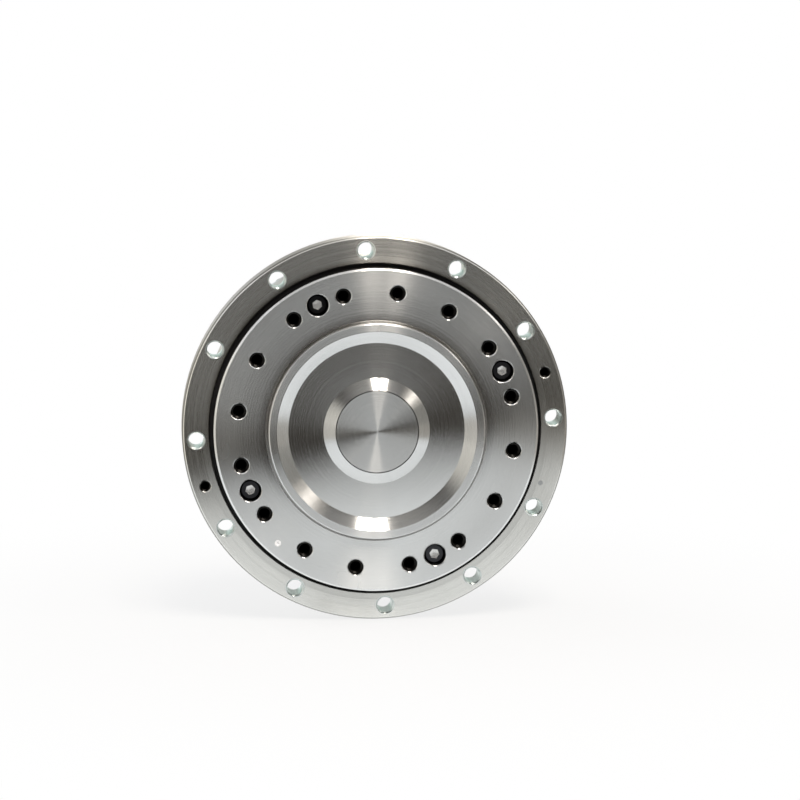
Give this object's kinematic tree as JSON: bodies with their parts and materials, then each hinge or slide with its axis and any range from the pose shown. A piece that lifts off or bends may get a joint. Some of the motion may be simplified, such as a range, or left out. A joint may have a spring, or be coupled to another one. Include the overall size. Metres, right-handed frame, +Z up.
{
  "type": "strain wave gear",
  "caption": "Round strain wave gear unit with a dished output hub in a crossed roller bearing, a ring of output threads, a bolted outer flange and a keyed input shaft behind.",
  "frame": {"origin": "centre of the outer ring's front face, on the common axis of flange, output and shaft", "axes": "-Y out of the output face, +Y along the input shaft, +Z up as in the picture"},
  "size_m": [0.11, 0.0725, 0.11],
  "materials": {
    "ground_steel": "ground bearing steel",
    "turned_steel": "fine turned steel, concentric tool marks",
    "gear_steel": "machined alloy steel",
    "bearing_steel": "ground and polished",
    "shaft_steel": "ground",
    "pin_steel": "ground tool steel",
    "spring_steel": "phosphated spring steel",
    "black_oxide_steel": "black oxide",
    "housing_alloy": "machined",
    "nitrile_rubber": "moulded, matt",
    "cage_resin": "moulded resin"
  },
  "bodies": {
    "housing": {"bearing_outer_ring": "ground_steel", "roller_plug": "ground_steel", "plug_pin": "pin_steel", "flexspline": "gear_steel", "rear_housing": "housing_alloy", "cover_screws": "black_oxide_steel", "output_seal": "nitrile_rubber", "brim_o_ring_front": "nitrile_rubber", "brim_o_ring_rear": "nitrile_rubber", "input_seal": "nitrile_rubber", "input_seal_spring": "spring_steel", "housing_snap_ring": "spring_steel", "rear_outer_race": "bearing_steel"},
    "output": {"output_ring": "turned_steel", "output_hub": "turned_steel", "centre_cap": "turned_steel", "circular_spline": "gear_steel", "output_screws": "black_oxide_steel", "front_outer_race": "bearing_steel"},
    "input": {"input_shaft": "shaft_steel", "shaft_key": "pin_steel", "wave_cam": "gear_steel", "cam_key": "pin_steel", "cam_snap_ring": "spring_steel", "shaft_snap_ring": "spring_steel", "wave_inner_race": "bearing_steel", "wave_outer_race": "bearing_steel", "wave_balls": "bearing_steel", "wave_ball_cage": "cage_resin", "front_inner_race": "bearing_steel", "rear_inner_race": "bearing_steel"},
    "roller_train": {"cross_rollers": "bearing_steel"},
    "front_ball_train": {"front_balls": "bearing_steel", "front_ball_cage": "cage_resin"},
    "rear_ball_train": {"rear_balls": "bearing_steel", "rear_ball_cage": "cage_resin"}
  },
  "joints": [
    {"name": "output_spin", "type": "hinge", "parent": "housing", "child": "output", "pos_m": [0, 0, 0], "axis": [0, 1, 0], "continuous": true},
    {"name": "input_spin", "type": "hinge", "parent": "housing", "child": "input", "pos_m": [0, 0, 0], "axis": [0, 1, 0], "continuous": true, "deforming": ["flexspline"]},
    {"name": "roller_train_spin", "type": "hinge", "parent": "housing", "child": "roller_train", "pos_m": [0, 0, 0], "axis": [0, 1, 0], "continuous": true},
    {"name": "front_ball_train_spin", "type": "hinge", "parent": "housing", "child": "front_ball_train", "pos_m": [0, 0, 0], "axis": [0, 1, 0], "continuous": true},
    {"name": "rear_ball_train_spin", "type": "hinge", "parent": "housing", "child": "rear_ball_train", "pos_m": [0, 0, 0], "axis": [0, 1, 0], "continuous": true}
  ],
  "couplings": [
    {"joint": "input_spin", "follows": "output_spin", "ratio": 51},
    {"joint": "roller_train_spin", "follows": "output_spin", "ratio": 0.48798},
    {"joint": "front_ball_train_spin", "follows": "output_spin", "ratio": 22.364},
    {"joint": "rear_ball_train_spin", "follows": "output_spin", "ratio": 20.756}
  ]
}
